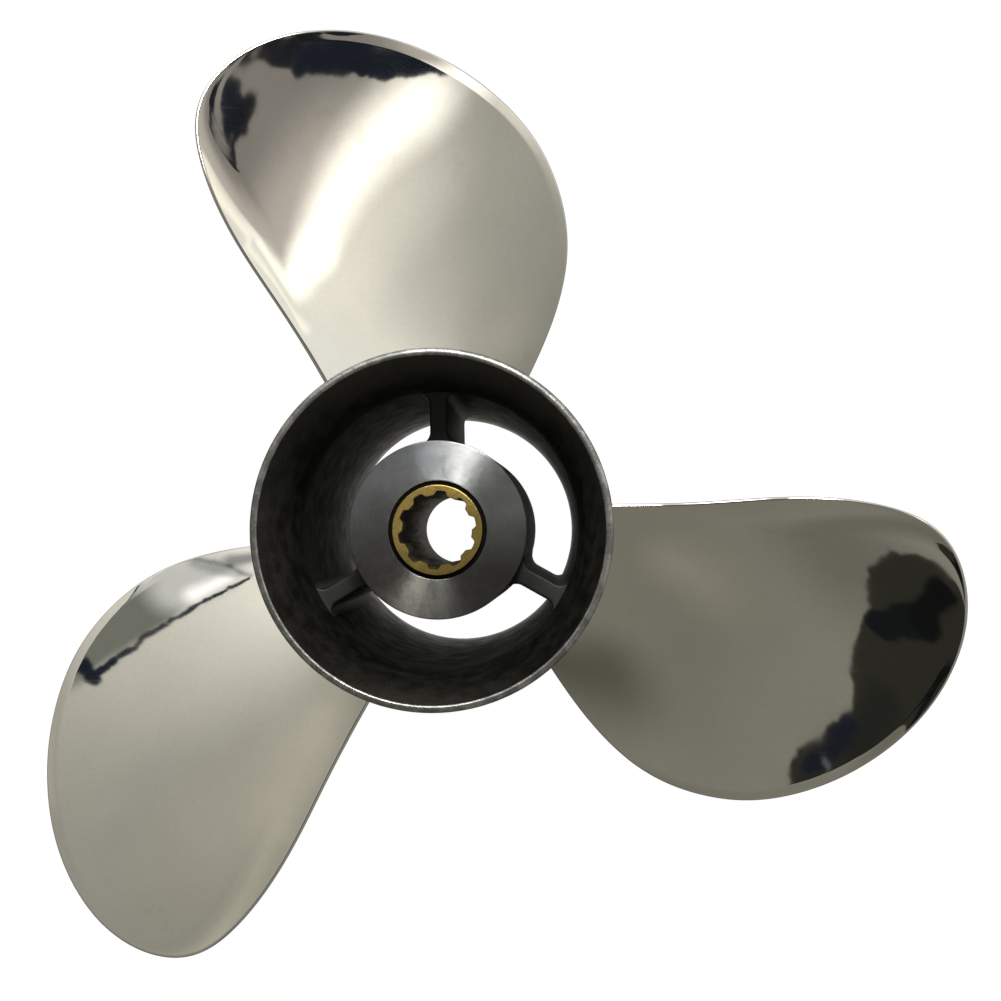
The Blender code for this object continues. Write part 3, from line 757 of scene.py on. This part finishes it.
# The studio that the steel reflects, drawn on a map seen from the propeller: straight up
# is the middle, distance from it is degrees down from straight up, +X right and +Y up.
# The shapes lie where the blades mirror them as the photograph shows its reflections.
# Shapes: (start, end, radius, softness, color, strength); the lamps are on the whole map
# and each other list is on its own part
LAMPS = [
    ((8.5, 36), (13, 54), 4.8, 3.2, (34.0, 33.6, 32.4), 1.0),
    ((-9, 46), (-9, 58), 4.2, 3.2, (23.0, 23.6, 24.3), 1.0),
]
RIGHT_PART = [
    ((30, 20), (34, 52), 11.0, 9.0, (0.27, 0.255, 0.245), 1.0),     # mauve wall
    ((43, 24), (43, 40), 4.0, 5.0, (0.60, 0.55, 0.53), 0.8),
    ((52, 17), (60, 34), 8.0, 8.0, (1.10, 1.07, 1.0), 0.55),        # glow round the strip lamp
    ((41.8, 13), (50.8, 33), 3.3, 3.6, (1.9, 1.85, 1.8), 1.0),      # strip lamp
    ((50.8, 33), (50.3, 40), 3.2, 3.0, (1.9, 1.85, 1.8), 1.0),
    ((46.6, 42.6), (49.5, 47.2), 1.3, 1.5, (1.35, 1.30, 1.22), 0.9),
    ((49.5, 47.2), (56, 49), 1.3, 1.5, (1.35, 1.30, 1.22), 0.9),
    ((78, -18), (84, -10), 8.0, 10.0, (0.50, 0.50, 0.45), 0.6),     # pale wall
    ((27.6, 26.6), (32.1, 22.8), 1.0, 0.12, (0.012, 0.014, 0.019), 1.0),  # dark shapes
    ((32.1, 22.8), (36.2, 17.1), 1.35, 0.12, (0.012, 0.016, 0.026), 1.0),
    ((36.2, 17.1), (38.5, 10.6), 1.25, 0.12, (0.012, 0.016, 0.026), 1.0),
    ((28.7, 26.4), (28.8, 26.2), 0.3, 0.2, (0.21, 0.20, 0.18), 1.0),
    ((28.6, 29.3), (31.0, 30.6), 1.15, 0.12, (0.012, 0.016, 0.026), 1.0),
    ((30.9, 28.6), (31.9, 29.9), 0.75, 0.12, (0.012, 0.014, 0.019), 1.0),
    ((31.4, 31.4), (33.3, 33.4), 0.45, 0.12, (0.012, 0.014, 0.019), 1.0),
    ((30.9, 31.1), (31.0, 31.2), 0.25, 0.2, (0.16, 0.15, 0.14), 1.0),
]
LOW_PART = [
    ((5, -56), (1, -53), 7.0, 6.0, (0.15, 0.147, 0.125), 0.8),
    ((-12, -80), (-14, -72), 6.0, 9.0, (0.30, 0.295, 0.255), 0.8),
    ((-22.3, -43.4), (-9, -44.8), 3.2, 0.2, (0.026, 0.027, 0.023), 1.0),  # dark corner
    ((-9, -44.6), (-1.2, -45.3), 5.1, 0.2, (0.028, 0.028, 0.023), 1.0),
    ((-16, -44.5), (-11, -45.5), 1.6, 1.0, (0.018, 0.019, 0.018), 0.8),
    ((-22.4, -44.9), (-15.5, -46.4), 0.9, 0.2, (0.012, 0.015, 0.024), 1.0),
    ((-4.8, -48.8), (-1.8, -45.4), 1.35, 0.2, (0.008, 0.010, 0.012), 1.0),
    ((-1.8, -45.4), (1.8, -44), 1.0, 0.2, (0.006, 0.007, 0.007), 1.0),
    ((-20.2, -44.9), (-20.0, -44.6), 0.45, 0.15, (0.10, 0.105, 0.115), 1.0),
    ((-58, -64), (-80, -60), 11.0, 11.0, (0.10, 0.098, 0.080), 0.9),
]
LEFT_PART = [
    ((-78, 36), (-64, 24), 9.0, 12.0, (0.60, 0.57, 0.49), 0.7),     # pale wall
    ((-26, 40), (-25, 56), 6.0, 1.0, (0.20, 0.21, 0.195), 1.0),     # silver corner
    ((-25, 62), (-25, 70), 6.0, 3.0, (0.70, 0.72, 0.74), 1.0),
    ((-28, 63), (-27, 73), 1.6, 2.0, (1.5, 1.52, 1.6), 1.0),
    ((-22, 74), (-23, 84), 2.0, 1.5, (0.30, 0.31, 0.33), 0.9),
    ((-32.4, 43), (-31.4, 52), 0.55, 0.15, (0.012, 0.016, 0.03), 1.0),
    ((-31.4, 52), (-30.2, 76), 0.55, 0.15, (0.012, 0.016, 0.03), 1.0),
    ((-32.8, 42), (-30.5, 42.2), 0.9, 0.3, (0.012, 0.016, 0.03), 1.0),
    ((-20, 66), (-27, 74), 1.5, 1.2, (0.30, 0.31, 0.33), 0.6),
    ((-18.5, 66), (-23.5, 73), 0.7, 0.7, (0.03, 0.03, 0.04), 0.5),
    ((-23.5, 73), (-29.5, 77), 0.7, 0.7, (0.03, 0.03, 0.04), 0.5),
]
RIGHT_OF, LEFT_OF, BELOW = 8.0, -14.0, -37.5   # where the parts of the map meet
# (place along the slope of the light, brightness, share of blue)
WALL_BRIGHTNESS = [(-90, 0.21, 0.86), (-60, 0.22, 0.87), (0, 0.35, 0.92), (18, 0.42, 0.93),
                   (30, 0.58, 0.94), (46, 0.79, 0.94), (60, 1.0, 0.94), (80, 1.12, 0.94)]
OVERHEAD = (0.12, 0.12, 0.12)
HORIZON = (0.03, 0.03, 0.028)
UNDERSIDE = (0.6, 0.6, 0.58)
RAGGEDNESS = 2.0           # how far the edges of sharp shapes wander on the map, degrees
FLOOR_R = 4.0
FLOOR_Z = -0.2 * MM
TABLE_Z = -0.1 * MM
TABLE_DIM_R = 28.0 * MM    # inside this the light under the barrel is dim
TABLE_DIM, TABLE_BRIGHT = 0.22, 1.2


def soft_bar():
    """Node group: mask of a straight bar with round ends and a soft edge on the map."""
    group = bpy.data.node_groups.new("soft_bar", "ShaderNodeTree")
    for name in ("Place", "Start", "End"):
        group.interface.new_socket(name, socket_type="NodeSocketVector")
    for name in ("Radius", "Softness"):
        group.interface.new_socket(name, socket_type="NodeSocketFloat")
    group.interface.new_socket("Mask", in_out="OUTPUT", socket_type="NodeSocketFloat")
    graph = Graph(group)
    given = graph.tree.nodes.new("NodeGroupInput").outputs
    reach = graph.vector("SUBTRACT", given["Place"], given["Start"])
    along = graph.vector("SUBTRACT", given["End"], given["Start"])
    share = graph.math("DIVIDE", graph.vector("DOT_PRODUCT", reach, along),
                       graph.vector("DOT_PRODUCT", along, along), clamp=True)
    gap = graph.vector("LENGTH", graph.vector(
        "SUBTRACT", reach, graph.vector("SCALE", along, scale=share)))
    inner = graph.math("SUBTRACT", given["Radius"], given["Softness"])
    outer = graph.math("ADD", given["Radius"], given["Softness"])
    mask = graph.spread(gap, inner, outer, 1.0, 0.0)
    result = graph.tree.nodes.new("NodeGroupOutput")
    graph.tree.links.new(mask, result.inputs[0])
    return group


def build_world():
    world = bpy.data.worlds.new("studio")
    world.use_nodes = True
    bpy.context.scene.world = world
    graph = Graph(world.node_tree)
    direction = graph.node("TexCoord").outputs["Generated"]
    parts = graph.node("SeparateXYZ", {"Vector": direction}).outputs
    down = graph.math("MULTIPLY", graph.math("ARCCOSINE", parts[2]), 180 / math.pi)
    level = graph.stretched(direction, (1.0, 1.0, 0.0))
    chart = graph.vector("SCALE", graph.vector("NORMALIZE", level), scale=down)
    wobble = graph.vector("SUBTRACT", graph.node(
        "TexNoise", {"Vector": chart, "Scale": 0.4, "Detail": 4.0, "Roughness": 0.5}
    ).outputs["Color"], (0.5, 0.5, 0.5))
    ragged = graph.vector("ADD", chart, graph.vector("SCALE", wobble, scale=RAGGEDNESS))
    slope = graph.vector("DOT_PRODUCT", chart, (0.35, 1.0, 0.0))
    low, high = WALL_BRIGHTNESS[0][0], WALL_BRIGHTNESS[-1][0]
    ramp = graph.node("ValToRGB", {"Fac": graph.spread(slope, low, high, smooth=False)})
    ramp.color_ramp.interpolation = "B_SPLINE"
    elements = ramp.color_ramp.elements
    while len(elements) < len(WALL_BRIGHTNESS):
        elements.new(0.5)
    for element, (place, value, blue) in zip(elements, WALL_BRIGHTNESS):
        element.position = (place - low) / (high - low)
        element.color = (value, value * 0.985, value * blue, 1.0)
    overhead = graph.spread(down, 22.0, 38.0, 1.0, 0.0)
    color = graph.mix(overhead, ramp.outputs[0], OVERHEAD)
    color = graph.mix(graph.spread(down, 111.0, 116.0), color, HORIZON)
    color = graph.mix(graph.spread(down, 140.0, 160.0), color, UNDERSIDE)
    bar = soft_bar()

    def painted(color, shapes):
        for start, end, radius, softness, tint, strength in shapes:
            mask = graph.node("Group", node_tree=bar)
            where = ragged if softness < 1 else chart
            given = (where, (*start, 0.0), (*end, 0.0), radius, softness)
            for socket, value in zip(mask.inputs, given):
                graph.plug(socket, value)
            color = graph.mix(graph.math("MULTIPLY", mask.outputs[0], strength), color, tint)
        return color

    def background(color):
        return graph.node("Background", {"Color": color, "Strength": 1.0}).outputs[0]

    color = painted(color, LAMPS)
    place = graph.node("SeparateXYZ", {"Vector": chart}).outputs
    studio = background(color)
    for test, axis, limit, shapes in (("LESS_THAN", 0, LEFT_OF, LEFT_PART),
                                      ("GREATER_THAN", 0, RIGHT_OF, RIGHT_PART),
                                      ("LESS_THAN", 1, BELOW, LOW_PART)):
        part = background(painted(color, shapes))
        studio = graph.either(graph.math(test, place[axis], limit), studio, part)
    seen = background((1.0, 1.0, 1.0, 1.0))
    for_camera = graph.node("LightPath").outputs["Is Camera Ray"]
    graph.surface(graph.either(for_camera, studio, seen), "OutputWorld")


def add_disc(name, radius, z, steps):
    """Flat disc of the studio; also gives its material's graph and place, to be finished."""
    angles = np.arange(steps) * 2 * math.pi / steps
    points = np.stack([radius * np.cos(angles), radius * np.sin(angles),
                       np.full(steps, z)], axis=1)
    mesh = bpy.data.meshes.new(name)
    mesh.from_pydata([tuple(point) for point in points], [], [tuple(range(steps))])
    disc = bpy.data.objects.new(name, mesh)
    bpy.context.scene.collection.objects.link(disc)
    material, graph, place = new_material(name)
    mesh.materials.append(material)
    return disc, graph, place


def build_floor():
    """Pale floor under the barrel's front end, kept near white for the camera."""
    floor, graph, _ = add_disc("floor", FLOOR_R, FLOOR_Z, 96)
    matte = graph.node("BsdfDiffuse", {"Color": (0.80, 0.80, 0.79, 1.0)}).outputs[0]
    glow = graph.node("Emission", {"Color": (1.0, 1.0, 1.0, 1.0), "Strength": 1.04}).outputs[0]
    share = graph.math("MULTIPLY", graph.node("LightPath").outputs["Is Camera Ray"], 0.95)
    graph.surface(graph.either(share, matte, glow))
    floor.visible_glossy = False


def build_light_table():
    """Disc under the barrel, bright near its edge, which lights the barrel's inside."""
    table, graph, place = add_disc("light_table", BARREL_FRONT_BORE_R, TABLE_Z, 64)
    strength = graph.spread(graph.from_axis(place), TABLE_DIM_R, BARREL_FRONT_BORE_R,
                            TABLE_DIM, TABLE_BRIGHT)
    glow = graph.node("Emission", {"Color": (1.0, 0.98, 0.90, 1.0),
                                   "Strength": strength}).outputs[0]
    graph.surface(glow)
    table.visible_camera = False


def build_camera():
    middle = (IMAGE_PX - 1) / 2
    nadir = Vector((NADIR_PX[0] - middle, middle - NADIR_PX[1], -CAMERA_FOCUS_PX)).normalized()
    to_camera = Vector((0, 0, -1)).rotation_difference(nadir).to_matrix()
    data = bpy.data.cameras.new("camera")
    data.sensor_width = SENSOR_WIDTH
    data.lens = CAMERA_FOCUS_PX / IMAGE_PX * SENSOR_WIDTH
    data.clip_start = 0.01
    data.clip_end = 20.0
    camera = bpy.data.objects.new("camera", data)
    camera.matrix_world = Matrix.Translation(CAMERA_PLACE) @ to_camera.transposed().to_4x4()
    bpy.context.scene.collection.objects.link(camera)
    bpy.context.scene.camera = camera


build_world()
build_floor()
build_light_table()
build_camera()
bpy.context.scene.view_settings.view_transform = "Standard"
